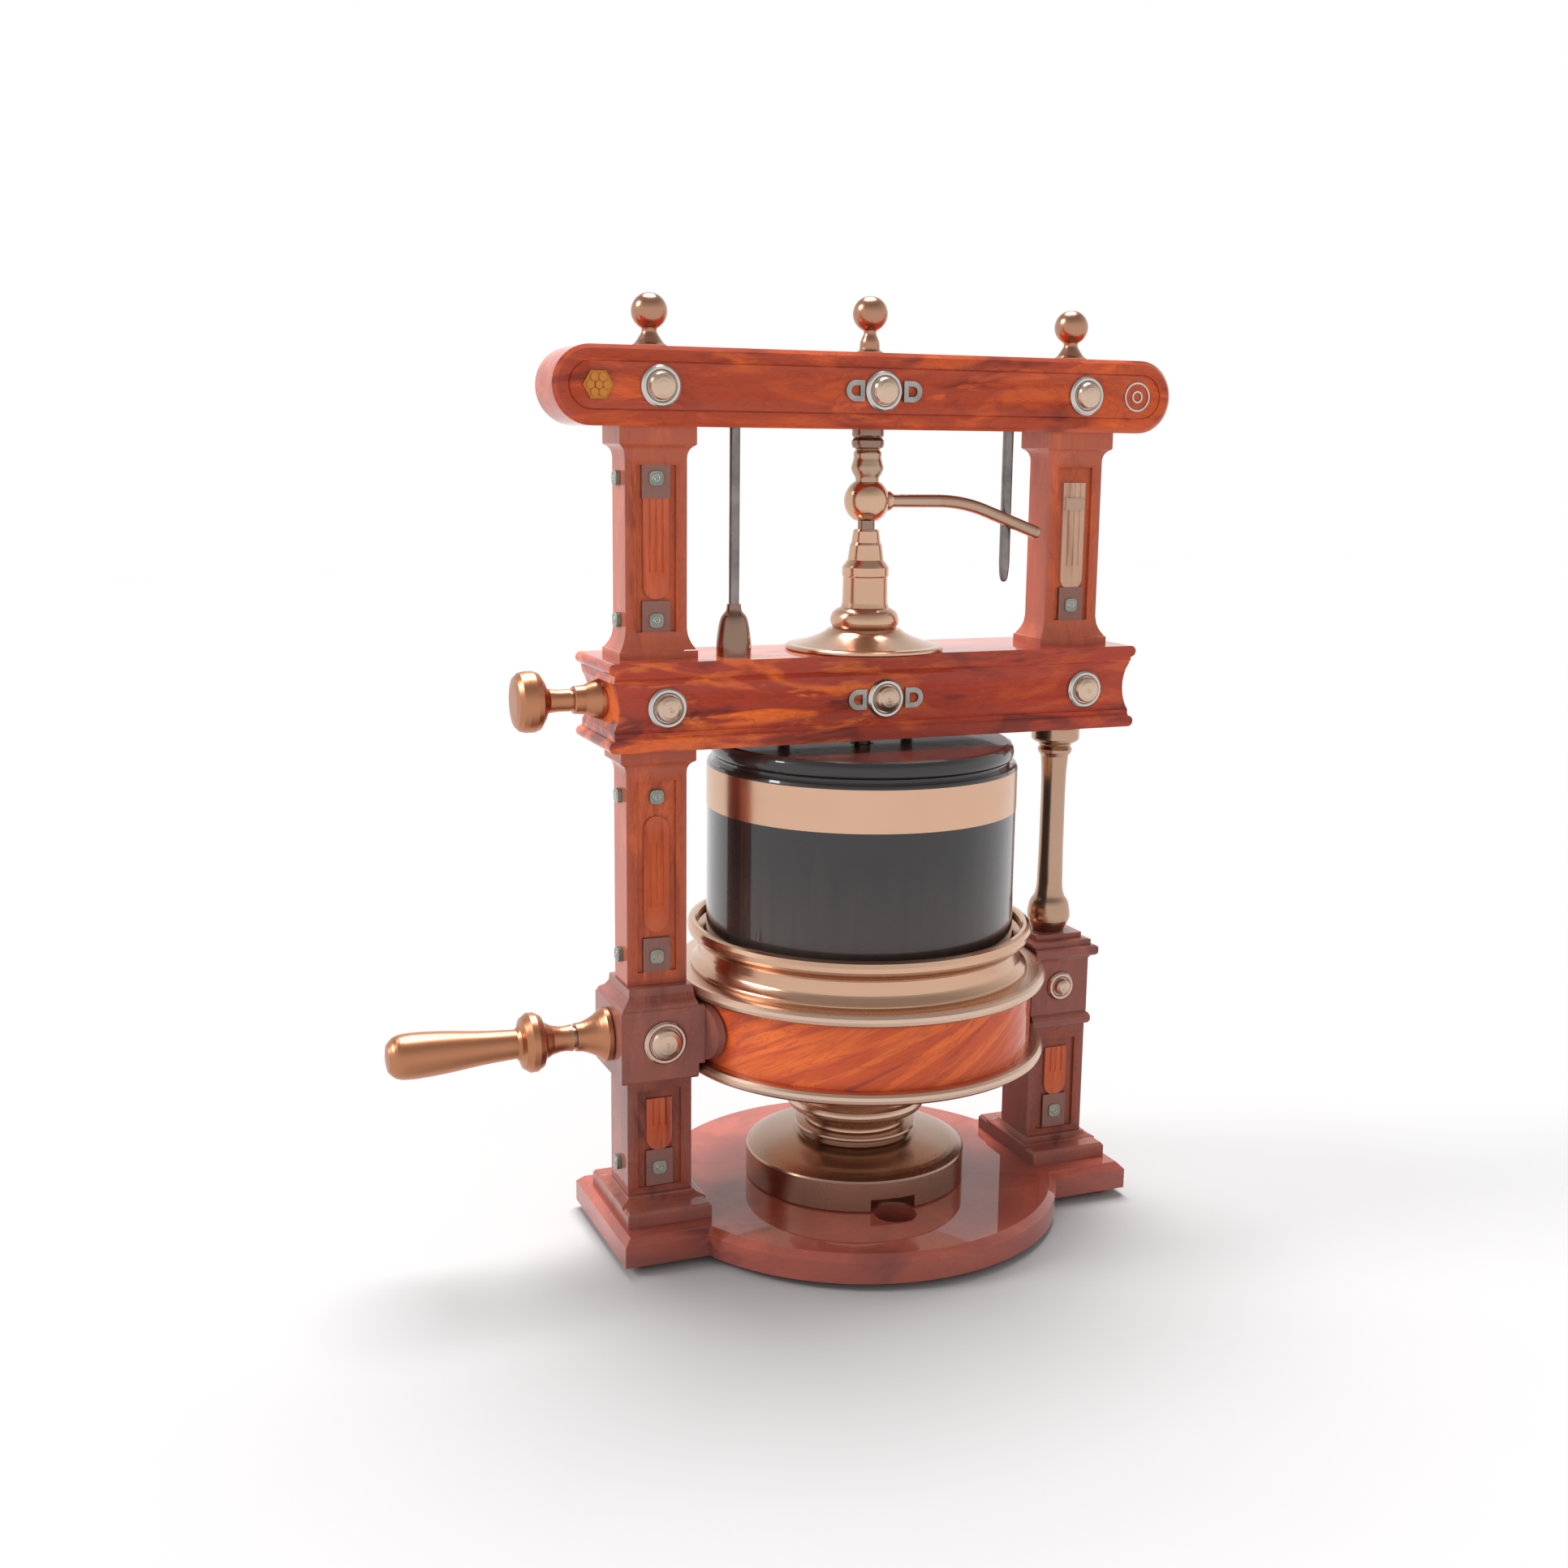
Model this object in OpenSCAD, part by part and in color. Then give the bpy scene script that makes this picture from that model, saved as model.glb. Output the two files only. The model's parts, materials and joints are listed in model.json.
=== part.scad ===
// Tabletop screw press: two posts, two beams, a turning bed and a drum-shaped platen.
// Millimetres, +Z up. The origin lies on the spindle axis, at the level that the feet stand on.

/* [Frame] */
// Distance between the centre lines of the left and right posts
post_span = 292; // [284:1:360]
// Height of each foot
foot_h = 5; // [3:0.5:10]
// Thickness of the base plate
base_t = 18; // [14:1:26]
// Radius of the round part of the base plate
base_r = 138; // [126:1:150]
// How far each ear of the base plate reaches past its post's centre line
base_over = 35; // [29:0.5:69]
// Depth of the two ears, front to back
ear_depth = 114; // [96:2:150]
// Chamfer along the top edge of the base plate
base_chamfer = 4.5; // [1:0.5:8]
// Height of the plinth under each post
plinth_h = 13; // [9:0.5:18]
// Height of the lower shafts, from plinth to waist block
lower_shaft_h = 78; // [70:1:100]
// Height of the left waist block
waist_h = 47; // [40:1:56]
// Height of the left middle shaft
middle_shaft_h = 135.5; // [105:0.5:180]
// Height of the capital under the middle beam
capital_h = 18; // [12:0.5:24]
// Height of the upper posts, without their capitals
upper_post_h = 121; // [110:1:166]
// Height of the capitals under the top beam
upper_capital_h = 18.7; // [12:0.1:24]

/* [Posts] */
// Width of the lower shafts, left to right
lower_shaft_w = 43; // [36:0.5:48]
// Depth of the lower shafts, front to back
lower_shaft_d = 36; // [28:0.5:46]
// Width of the middle and upper shafts
shaft_w = 39.5; // [32:0.5:44]
// Depth of the middle and upper shafts
shaft_d = 26; // [22:0.5:32]
// Width of the left waist block
waist_w = 57; // [48:0.5:60]
// Depth of the left waist block
waist_d = 58; // [48:1:70]
// Width of the right waist block
right_block_w = 44; // [40:0.5:50]
// Depth of the sunk panels
panel_depth = 2; // [1:0.25:3]
// Width of the border around a sunk panel
panel_border = 7; // [5:0.5:10]
// Radius of the right pillar at its middle
pillar_r = 8.4; // [7.5:0.1:11]

/* [Beams] */
// Height of the middle beam
mid_beam_h = 54.5; // [46:0.5:66]
// Depth of the middle beam
mid_beam_d = 74; // [60:1:90]
// How far each end of the middle beam reaches past its post's centre line
mid_beam_over = 37.5; // [30:0.5:74]
// Height of the top beam
top_beam_h = 47; // [40:1:58]
// Depth of the top beam
top_beam_d = 44; // [36:1:56]
// How far each round end of the top beam reaches past its post's centre line
top_beam_over = 65.7; // [54:0.1:104]
// Radius of the two tie rods
tie_rod_r = 5; // [3.5:0.25:6]
// Radius of the ball on each finial
finial_ball_r = 11; // [8:0.5:13]

/* [Bed] */
// Height of the pedestal that carries the bed
pedestal_h = 61; // [55:1:75]
// Radius of the pedestal's foot disc
pedestal_r = 74; // [60:1:84]
// Radius of the pivot pin
pivot_r = 12; // [8:0.5:16]
// Height of the bed's hub
hub_h = 28; // [22:1:34]
// Radius of the two bed flanges
flange_r = 125; // [108:0.5:126]
// Thickness of the lower bed flange
lower_flange_t = 8; // [5:0.5:10]
// Thickness of the upper bed flange
upper_flange_t = 8.5; // [5:0.5:10]
// Radius of the wooden bed ring
ring_r = 116; // [98:0.5:117]
// Height of the wooden bed ring
ring_h = 41.5; // [36:0.5:50]
// Radial thickness of the wooden bed ring
ring_wall = 14; // [8:0.5:20]
// Thickness of the tray's floor
tray_floor = 4; // [3:0.5:6]
// Height of the tray over its lip
tray_h = 30.5; // [26:0.5:36]
// Thickness of the tray's wall
tray_wall = 3; // [2:0.25:4]

/* [Platen] */
// Radius of the drum
drum_r = 102; // [80:0.5:103]
// Thickness of the drum's shell
drum_wall = 6; // [4:0.5:10]
// Gap between the tray's floor and the platen's face with the lever at rest
daylight = 16; // [10:0.5:20]
// Height of the copper band on the drum
band_h = 27; // [16:1:34]
// Gap between the drum's lid and the middle beam
beam_gap = 4; // [4:0.5:10]
// Radius of the pressing screw
screw_r = 5.5; // [4.5:0.1:6]
// Drop of the platen over the lever's whole swing
platen_drop = 4.7; // [2:0.1:6]
// Length of the lever from the spindle axis to its tip
lever_len = 120; // [108:1:122]
// Radius of the lever's rod
lever_r = 4.2; // [3:0.1:4.5]
// Angle of the lever in front of the X axis at rest
lever_rest = 8; // [8:0.5:14]

/* [Clamps] */
// Height of the bed clamp's screw above the floor
clamp_z = 140; // [134:0.5:146]
// Radius of the clamp screw
clamp_r = 7; // [5:0.25:8]
// Travel of the clamp shoe towards the bed ring
clamp_travel = 1.5; // [1:0.1:2]
// Thickness of the clamp shoe
shoe_t = 4.5; // [3:0.25:5]
// Length of the turned grip
grip_len = 84; // [60:1:100]
// Radius of the lock screw in the middle beam
lock_r = 6; // [4.5:0.25:7]
// Travel of the lock shoe towards the left tie rod
lock_travel = 1.3; // [0.8:0.1:1.6]

/* [Trim] */
// Radius of the rims under the beams' front bolts
bolt_rim_r = 12.5; // [9:0.5:14]
// Radius of the rim under the left waist bolt
waist_rim_r = 14; // [10:0.5:16]
// Radius of the rim under the right waist bolt
small_rim_r = 10; // [7:0.5:12]
// Radius of the studs on the posts
stud_r = 4.5; // [3:0.25:5]
// Radius of the two medallions on the top beam
medallion_r = 9.5; // [6:0.5:11]

/* [Fits] */
// Radial clearance of a shaft that turns or slides in its bore
run_fit = 0.08; // [0.04:0.01:0.1]
// Radial clearance of a piece that is fixed in its hole
still_fit = 0.05; // [0.02:0.01:0.1]
// Radial clearance of the tie rods in the posts and beams
rod_fit = 0.4; // [0.2:0.1:1]
// Clearance between pieces that pass each other without touching
pass_gap = 1.5; // [1:0.1:3]
// Least gap left between a clamp's shoe and what it presses on
shoe_gap = 0.3; // [0.3:0.05:0.6]

/* [Hidden] */
$fn = 96;
far = 1000;
post_x = post_span / 2;
base_len = post_span + 2 * base_over;
mid_beam_len = post_span + 2 * mid_beam_over;
top_beam_len = post_span + 2 * top_beam_over;
base_z = foot_h;
base_top = base_z + base_t;
plinth_top = base_top + plinth_h;
waist_z = plinth_top + lower_shaft_h;
waist_top = waist_z + waist_h;
cap_h = 13;
middle_z = waist_top + cap_h;
capital_z = middle_z + middle_shaft_h;
beam_z = capital_z + capital_h;
beam_top = beam_z + mid_beam_h;
upper_top = beam_top + upper_post_h;
top_z = upper_top + upper_capital_h;
top_top = top_z + top_beam_h;
mid_beam_mid = beam_z + mid_beam_h / 2 - 1;
top_beam_mid = top_z + top_beam_h / 2;
beam_front = mid_beam_d / 2 - 3;

pedestal_top = base_top + pedestal_h;
washer_t = 2;
hub_z = pedestal_top + washer_t;
bed_z = hub_z + hub_h;
ring_z = bed_z + lower_flange_t;
ring_top = ring_z + ring_h;
tray_z = ring_top + upper_flange_t;
tray_top = tray_z + tray_h;
tray_in_r = drum_r + 2;
tray_out_r = tray_in_r + tray_wall;
face_z = tray_z + tray_floor + daylight;
lid_top = beam_z - beam_gap;
lid_h = 11;
lid_z = lid_top - lid_h;
lid_groove = 2.5;
drum_top = lid_z - lid_groove;
band_z = drum_top - 2.8 - band_h;
band_t = 1.5;
core_r = 22;
core_top = lid_z - 12;
collar_r = 14;

tower_h = 77;
tower_top = beam_top + tower_h;
hub_ball_r = 14.6;
hub_ball_z = tower_top + 18;
journal_r = 7;
bush_lip_z = top_z - 12.2;
hub_seat = 12;
head_z = hub_ball_z + hub_seat;
journal_top = top_z + 28;
bush_r = 10.4;
flange_foot_r = 51.3;
stop_x = 98.5;
stop_y = -(stop_x * tan(lever_rest) - (lever_r + 3.5 + 0.6) / cos(lever_rest));
stop_r = 3.5;
stop_z = beam_top + 42;
guide_x = -95;
guide_y = -12;
guide_r = 3.3;
pin_x = 45;
pin_y = 26;
pin_r = 4;
pin_low = lid_z + 2.7 - platen_drop;
pin_top = beam_z + 21;

relief_r = flange_r + pass_gap;
shoe_in_r = ring_r + clamp_travel + shoe_gap;
shoe_out_r = shoe_in_r + shoe_t;
shoe_half_w = 42;
shoe_h = ring_h - 2 * (pass_gap + 1.25);
shoe_z = ring_z + ring_h / 2;
shoe_boss_r = 12;
boss_seat = 17.8;
shoe_boss_len = post_x - waist_w / 2 + boss_seat - shoe_out_r;
block_face_x = post_x + waist_w / 2;
grip_x = block_face_x + 47.5;
beam_waist_x = mid_beam_len / 2 - 7.5;
knob_face_x = beam_waist_x;
ferrule_r = 12.6;
lock_z = beam_z + mid_beam_h / 2 + 1.5;
lock_shoe_x = post_x + tie_rod_r + lock_travel + shoe_gap;
rod_foot_z = base_z + 1.5;
side_finial_h = 32;
centre_finial_h = 35.5;
shank_r = 3.5;
mid_shank = beam_front - screw_r - 8.5;
top_shank = top_beam_d / 2 - 12;
waist_shank = waist_d / 2 - 15;
small_shank = lower_shaft_d / 2 - 9;
finial_stud_r = 2.5;
right_block_z = waist_z + 10;
right_cap_z = right_block_z + 38;
right_cap_top = right_cap_z + 18;
ferrule_spigot_r = 9;
lock_seat_x = knob_face_x - 8;
rod_break_low = clamp_z - clamp_r - 4;
rod_break_high = clamp_z + clamp_r + 4;
inlay_w = shaft_w - 2 * panel_border - 9;
hole_x = -5;
hole_y = -(pedestal_r + 3);
hole_r = 14;

// ---- shared shapes ----

// Point at t between b and c on a smooth curve through a, b, c and d
function curve_point(a, b, c, d, t) =
  0.5 * (2 * b + (c - a) * t + (2 * a - 5 * b + 4 * c - d) * t * t
         + (3 * b - a - 3 * c + d) * t * t * t);

// Points of a smooth curve through the list p, with n steps between two points
function smooth(p, n = 4) = let(last = len(p) - 1) [
  for (i = [0:last - 1], k = [0:n - 1])
    curve_point(p[max(i - 1, 0)], p[i], p[i + 1], p[min(i + 2, last)], k / n),
  p[last]
];

// Solid turned about Z from an outline of [radius, height] points, closed at the axis
module turned(p) {
  rotate_extrude() polygon(concat([[0, p[0].y]], p, [[0, p[len(p) - 1].y]]));
}

// Rectangular piece whose sides follow the outline p of [outset, height] points
module moulding(w, d, p) {
  n = len(p) - 1;
  side_w = concat([for (q = p) [w / 2 + q.x, q.y]], [for (i = [n:-1:0]) [-w / 2 - p[i].x, p[i].y]]);
  side_d = concat([for (q = p) [d / 2 + q.x, q.y]], [for (i = [n:-1:0]) [-d / 2 - p[i].x, p[i].y]]);
  intersection() {
    rotate([90, 0, 0]) linear_extrude(far, center = true) polygon(side_w);
    rotate([90, 0, 90]) linear_extrude(far, center = true) polygon(side_d);
  }
}

module at_post(side) {
  translate([side * post_x, 0, 0]) children();
}

// Cylinder along X, from x0 to x1, at height z
module x_rod(r, x0, x1, z) {
  translate([min(x0, x1), 0, z]) rotate([0, 90, 0]) cylinder(r = r, h = abs(x1 - x0));
}

// Piece turned about an X axis at height z, from an outline of [radius, x] points
module x_turned(p, z) {
  translate([0, 0, z]) rotate([0, 90, 0]) turned(p);
}

// Hole for a tie rod along a post's own axis
module rod_bore(z0 = 0, z1 = far) {
  translate([0, 0, z0]) cylinder(r = tie_rod_r + rod_fit, h = z1 - z0);
}

// Space that the turning bed and the clamp shoe sweep through
module bed_relief() {
  translate([0, 0, bed_z - pass_gap]) cylinder(r = relief_r, h = lower_flange_t + 2 * pass_gap);
  translate([0, 0, ring_z]) cylinder(r = shoe_out_r + shoe_gap, h = ring_h);
  translate([0, 0, ring_top - pass_gap]) cylinder(r = relief_r, h = upper_flange_t + 2 * pass_gap);
}

// Front and back panels sunk into a shaft of width w and depth d
module sunk_panels(w, d, z0, z1) {
  for (side = [-1, 1]) translate([0, side * d / 2, 0])
    translate([-(w / 2 - panel_border), -panel_depth, z0])
      cube([w - 2 * panel_border, 2 * panel_depth, z1 - z0]);
}

// Stadium of radius r and total length len, along X
module stadium(r, len) {
  square([len - 2 * r, 2 * r], center = true);
  for (side = [-1, 1]) translate([side * (len / 2 - r), 0]) circle(r = r);
}

// ---- base and posts ----

module base_plate() {
  edge = [[0, base_z], [0, base_top - base_chamfer], [-base_chamfer, base_top]];
  color("sienna") difference() {
    union() {
      turned([for (q = edge) [base_r + q.x, q.y]]);
      moulding(base_len, ear_depth, edge);
    }
    for (side = [-1, 1]) at_post(side) {
      rod_bore();
      translate([0, 0, base_z - 1]) cylinder(r = 15, h = 10);
    }
    translate([hole_x, hole_y, 0]) cylinder(r = hole_r, h = far);
    cylinder(r = pivot_r + still_fit, h = far);
  }
}

// The middle foot lies under the pivot pin and takes the pressing load
module base_feet() {
  foot = [[6, 0], [8.5, 1.2], [9, foot_h - 1], [9, foot_h]];
  color("peru") {
    turned([[13, 0], [16, 1.2], [18, foot_h - 1], [18, foot_h]]);
    for (sx = [-1, 1], sy = [-1, 1]) {
      translate([sx * (base_len / 2 - 15), sy * (ear_depth / 2 - 14), 0]) turned(foot);
      translate([sx * base_r * 0.66, sy * base_r * 0.57, 0]) turned(foot);
    }
  }
}

module post_plinths() {
  slab = 9.5;
  outline = [[6.5, base_top], [6.5, base_top + slab], [5.5, base_top + slab + 0.6],
             [3, base_top + slab + 1.2], [1.2, base_top + slab + 2.4], [0.6, plinth_top]];
  color("rosybrown") for (side = [-1, 1]) at_post(side) difference() {
    union() {
      moulding(lower_shaft_w, lower_shaft_d + 31, [[6.5, base_top], [6.5, base_top + slab - 2],
               [5, base_top + slab]]);
      moulding(lower_shaft_w, lower_shaft_d + 6, outline);
    }
    rod_bore();
  }
}

module left_lower_shaft() {
  color("sienna") difference() {
    at_post(-1) difference() {
      moulding(lower_shaft_w, lower_shaft_d, [[0, plinth_top], [0, waist_z]]);
      sunk_panels(lower_shaft_w, lower_shaft_d, plinth_top + 4, waist_z - 9);
      rod_bore();
    }
    bed_relief();
  }
}

module left_waist_block() {
  cap = [[0, waist_z], [0, waist_top], [-1, waist_top + 0.5], [-1.5, waist_top + 2.5],
         [-5, waist_top + 5], [-7, waist_top + 8], [-7.5, waist_top + cap_h]];
  color("rosybrown") difference() {
    at_post(-1) intersection() {
      moulding(waist_w, waist_d, cap);
      translate([0, 0, waist_z]) moulding(waist_w, waist_d, [[-1.5, 0], [0, 1.5], [0, far]]);
    }
    at_post(-1) rod_bore(0, rod_break_low);
    at_post(-1) rod_bore(rod_break_high);
    bed_relief();
    x_rod(clamp_r + run_fit, -far, -shoe_out_r, clamp_z);
    x_rod(shoe_boss_r + shoe_gap, -shoe_out_r - shoe_boss_len - 1, -shoe_in_r, clamp_z);
    bolt_holes();
  }
}

module left_middle_shaft() {
  color("sienna") at_post(-1) difference() {
    moulding(shaft_w, shaft_d, [[0, middle_z], [0, capital_z]]);
    sunk_panels(shaft_w, shaft_d, middle_z + 8, capital_z - 4.5);
    rod_bore();
  }
}

// Splayed head of a post, from z0 up to z1, on a shaft of width w and depth d
module capital(w, d, z0, z1, out = 4.75) {
  h = z1 - z0;
  cove = smooth([[0, z0], [0.3, z0 + 0.14 * h], [1.2, z0 + 0.27 * h], [2.6, z0 + 0.36 * h],
                 [3.4, z0 + 0.39 * h]], 3);
  moulding(w, d, concat(cove, [[out - 0.5, z0 + 0.42 * h], [out, z0 + 0.45 * h], [out, z1]]));
}

module left_capital() {
  color("rosybrown") at_post(-1) difference() {
    capital(shaft_w, shaft_d, capital_z, beam_z);
    rod_bore();
  }
}

module right_lower_shaft() {
  bead_z = waist_z;
  bead = [[0, plinth_top], [0, bead_z], [2, bead_z + 1], [3, bead_z + 3], [3, bead_z + 6],
          [2, bead_z + 8], [0, bead_z + 10]];
  color("sienna") difference() {
    at_post(1) difference() {
      moulding(lower_shaft_w, lower_shaft_d, bead);
      sunk_panels(lower_shaft_w, lower_shaft_d, plinth_top + 4, waist_z - 9);
      rod_bore();
    }
    bed_relief();
  }
}

module right_waist_block() {
  color("rosybrown") difference() {
    at_post(1) difference() {
      moulding(right_block_w, lower_shaft_d + 2, [[0, right_block_z], [0, right_cap_z]]);
      rod_bore();
    }
    bed_relief();
    bolt_holes();
  }
}

module right_cap() {
  z = right_cap_z;
  steps = [[0, z], [1, z + 1.5], [4, z + 3], [5, z + 4.5], [5, z + 8.5], [4, z + 9.5],
           [1, z + 10], [1, z + 13.5], [0, z + 14], [-4, z + 14.5], [-4, right_cap_top]];
  color("rosybrown") difference() {
    at_post(1) difference() {
      moulding(right_block_w, lower_shaft_d + 2, steps);
      rod_bore();
    }
    bed_relief();
  }
}

module right_pillar() {
  foot = right_cap_top;
  h = beam_z - foot;
  lower = smooth([[10.6, foot], [11.8, foot + 3], [14.8, foot + 10], [13.4, foot + 20],
                  [10.4, foot + 25], [9.2, foot + 30]], 4);
  shaft = smooth([[pillar_r + 0.5, foot + 33], [pillar_r, foot + 0.45 * h],
                  [pillar_r, foot + 0.72 * h], [pillar_r + 1, beam_z - 24]], 4);
  upper = [[pillar_r + 3, beam_z - 21], [pillar_r + 3.4, beam_z - 19], [pillar_r + 2, beam_z - 17],
           [pillar_r + 3.5, beam_z - 15], [pillar_r + 7, beam_z - 13], [pillar_r + 8, beam_z - 11.5],
           [pillar_r + 8, beam_z - 4], [pillar_r + 7, beam_z - 3], [pillar_r + 7, beam_z]];
  color("tan") at_post(1) difference() {
    turned(concat(lower, shaft, upper));
    rod_bore();
  }
}

// Upper post with a splayed base and a sunk panel front and back
module upper_post(side) {
  z = beam_top;
  splay = concat([[5.5, z], [5.5, z + 4.5]],
                 smooth([[4.6, z + 5], [2.2, z + 9], [0.7, z + 13], [0, z + 18]], 3));
  color("sienna") at_post(side) difference() {
    moulding(shaft_w, shaft_d, concat(splay, [[0, upper_top]]));
    sunk_panels(shaft_w, shaft_d, z + 16, upper_top - 4);
    rod_bore();
  }
}

module upper_left_post() {
  upper_post(-1);
}

module upper_right_post() {
  upper_post(1);
}

module upper_capitals() {
  color("rosybrown") for (side = [-1, 1]) at_post(side) difference() {
    capital(shaft_w, shaft_d, upper_top, top_z);
    rod_bore();
  }
}

// Fluted plate with a round lower end, in the panels at depth d; its top is square or round
module inlay(w, d, z0, z1, round_top = false) {
  r = w / 2;
  top = round_top ? z1 - r : z1;
  flute_h = top - z0 - (round_top ? 3 * r : 2 * r - 1);
  flutes = 3;
  plate_t = panel_depth - 0.4;
  for (side = [-1, 1]) translate([0, side * (d / 2 - panel_depth / 2 - 0.2), 0])
    rotate([90, 0, 0]) difference() {
      linear_extrude(plate_t, center = true) union() {
        translate([-r, z0 + r]) square([w, top - z0 - r]);
        translate([0, z0 + r]) circle(r = r);
        if (round_top) translate([0, top]) circle(r = r);
      }
      for (i = [1:flutes], face = [-1, 1])
        translate([-r + i * w / (flutes + 1) - 0.6, z0 + 2 * r, face * plate_t / 2 - 0.4])
          cube([1.2, flute_h, 0.8]);
    }
}

module post_inlays() {
  color("chocolate") {
    for (side = [-1, 1]) at_post(side)
      inlay(lower_shaft_w - 2 * panel_border - 12, lower_shaft_d, plinth_top + 28, waist_z - 15);
    at_post(-1) {
      inlay(inlay_w, shaft_d, middle_z + 34, capital_z - 27, round_top = true);
      inlay(inlay_w, shaft_d, beam_top + 36, upper_top - 23);
    }
  }
}

module pale_inlay() {
  color("tan") at_post(1) inlay(inlay_w, shaft_d, beam_top + 36, upper_top - 14);
}

// Low domed stud on a face that looks along -Y
module stud() {
  rotate([90, 0, 0]) turned([[stud_r, 0], [stud_r, 0.9], [stud_r - 0.8, 1.6], [1.4, 1.8]]);
}

module post_studs() {
  left_z = [plinth_top + 16.5, middle_z + 18, capital_z - 14.5, beam_top + 23, upper_top - 12];
  right_z = [plinth_top + 16.5, beam_top + 26];
  depth = [lower_shaft_d, shaft_d, shaft_d, shaft_d, shaft_d];
  width = [lower_shaft_w, shaft_w, shaft_w, shaft_w, shaft_w];
  color("silver") {
    for (i = [0:4], turn = [0, 180]) translate([-post_x, 0, left_z[i]])
      rotate([0, 0, turn]) translate([0, -depth[i] / 2 + panel_depth, 0]) stud();
    for (i = [0:4]) translate([-post_x - width[i] / 2, 0, left_z[i]]) rotate([0, 0, -90]) stud();
    for (i = [0:1], turn = [0, 180]) translate([post_x, 0, right_z[i]])
      rotate([0, 0, turn]) translate([0, -depth[i] / 2 + panel_depth, 0]) stud();
    for (i = [0:1]) translate([post_x + width[i] / 2, 0, right_z[i]]) rotate([0, 0, 90]) stud();
  }
}

// ---- beams ----

module mid_beam() {
  half = mid_beam_h / 2;
  lip = 7.3;
  hollow_r = 30;
  step = [[0, beam_z], [0, beam_z + 7.4], [-0.8, beam_z + 8.4], [-1.4, beam_z + 8.8],
          [-1.4, beam_z + 11.4], [-2.2, beam_z + 12], [-3, beam_z + 13.4], [-3, beam_top - 15.6],
          [-2.6, beam_top - 13], [-1.6, beam_top - 11], [-0.4, beam_top - 9.9],
          [0, beam_top - 9.3], [0, beam_top]];
  color("firebrick") difference() {
    intersection() {
      rotate([90, 0, 90]) linear_extrude(far, center = true) polygon(concat(
        [for (q = step) [mid_beam_d / 2 + q.x, q.y]],
        [for (i = [len(step) - 1:-1:0]) [-mid_beam_d / 2 - step[i].x, step[i].y]]));
      rotate([90, 0, 0]) linear_extrude(far, center = true) difference() {
        union() {
          translate([0, beam_z + half]) square([mid_beam_len - lip, mid_beam_h], center = true);
          for (x = [-1, 1], z = [beam_z + lip / 2, beam_top - lip / 2])
            translate([x * (mid_beam_len - lip) / 2, z]) circle(r = lip / 2);
        }
        for (x = [-1, 1]) translate([x * (beam_waist_x + hollow_r), beam_z + half]) circle(r = hollow_r);
      }
    }
    for (side = [-1, 1]) at_post(side) rod_bore();
    cylinder(r = screw_r + 2.5, h = far);
    for (side = [-1, 1]) translate([side * pin_x, pin_y, 0])
      cylinder(r = pin_r + still_fit, h = pin_top + 1);
    x_rod(lock_r + run_fit, -far, -lock_shoe_x, lock_z);
    x_rod(lock_r + 2.5, -lock_shoe_x - 14, -post_x, lock_z);
    x_rod(ferrule_spigot_r + still_fit, -far, -lock_seat_x, lock_z);
    x_rod(ferrule_r + still_fit, -far, -knob_face_x + 0.5, lock_z);
    bolt_holes();
  }
}

module top_beam() {
  r = top_beam_h / 2;
  straight = top_beam_len - 2 * r;
  bevel = 2.5;
  inset = 9;
  line = 1;
  half = top_beam_d / 2;
  rim = [[r - bevel, -half], [r, bevel - half], [r, half - bevel], [r - bevel, half]];
  color("firebrick") difference() {
    translate([0, 0, top_beam_mid]) union() {
      rotate([90, 0, 90]) linear_extrude(straight, center = true)
        polygon(concat([for (q = rim) [q.y, q.x]], [for (i = [3:-1:0]) [rim[i].y, -rim[i].x]]));
      for (side = [0, 180]) rotate([0, 0, side]) translate([straight / 2, 0, 0])
        rotate([90, 0, 0]) rotate([0, 0, -90]) rotate_extrude(angle = 180)
          polygon(concat([[0, -half]], rim, [[0, half]]));
    }
    for (face = [-1, 1]) translate([0, face * half, top_beam_mid]) rotate([90, 0, 0])
      linear_extrude(1.6, center = true) difference() {
        stadium(r - inset, top_beam_len - 2 * inset);
        stadium(r - inset - line, top_beam_len - 2 * inset - 2 * line);
      }
    for (side = [-1, 1]) at_post(side) rod_bore();
    translate([0, 0, top_z - 1]) cylinder(r = bush_r - 1 + still_fit, h = 31);
    translate([0, 0, top_z + 29]) cylinder(r = 3 + still_fit, h = far);
    translate([guide_x, guide_y, 0]) cylinder(r = guide_r + still_fit, h = top_z + 8);
    translate([stop_x, stop_y, 0]) cylinder(r = stop_r + still_fit, h = top_z + 8);
    bolt_holes();
  }
}

// Tie rod from z0 up to the top beam, with the stud that its finial screws on
module long_rod(z0) {
  turned([[tie_rod_r, z0], [tie_rod_r, top_top - 1], [finial_stud_r, top_top - 1],
          [finial_stud_r, top_top + 9]]);
}

module tie_rods() {
  color("gray") {
    at_post(-1) {
      translate([0, 0, rod_foot_z]) cylinder(r = tie_rod_r, h = rod_break_low - 1 - rod_foot_z);
      long_rod(rod_break_high + 1);
    }
    at_post(1) long_rod(rod_foot_z);
  }
}

module tie_rod_nuts() {
  color("gray") for (side = [-1, 1]) at_post(side) difference() {
    union() {
      translate([0, 0, rod_foot_z]) cylinder(r = tie_rod_r * 1.9, h = 6, $fn = 6);
      translate([0, 0, rod_foot_z + 6]) cylinder(r = 12, h = 1.5);
    }
    translate([0, 0, base_z]) cylinder(r = tie_rod_r + still_fit, h = 20);
  }
}

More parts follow.
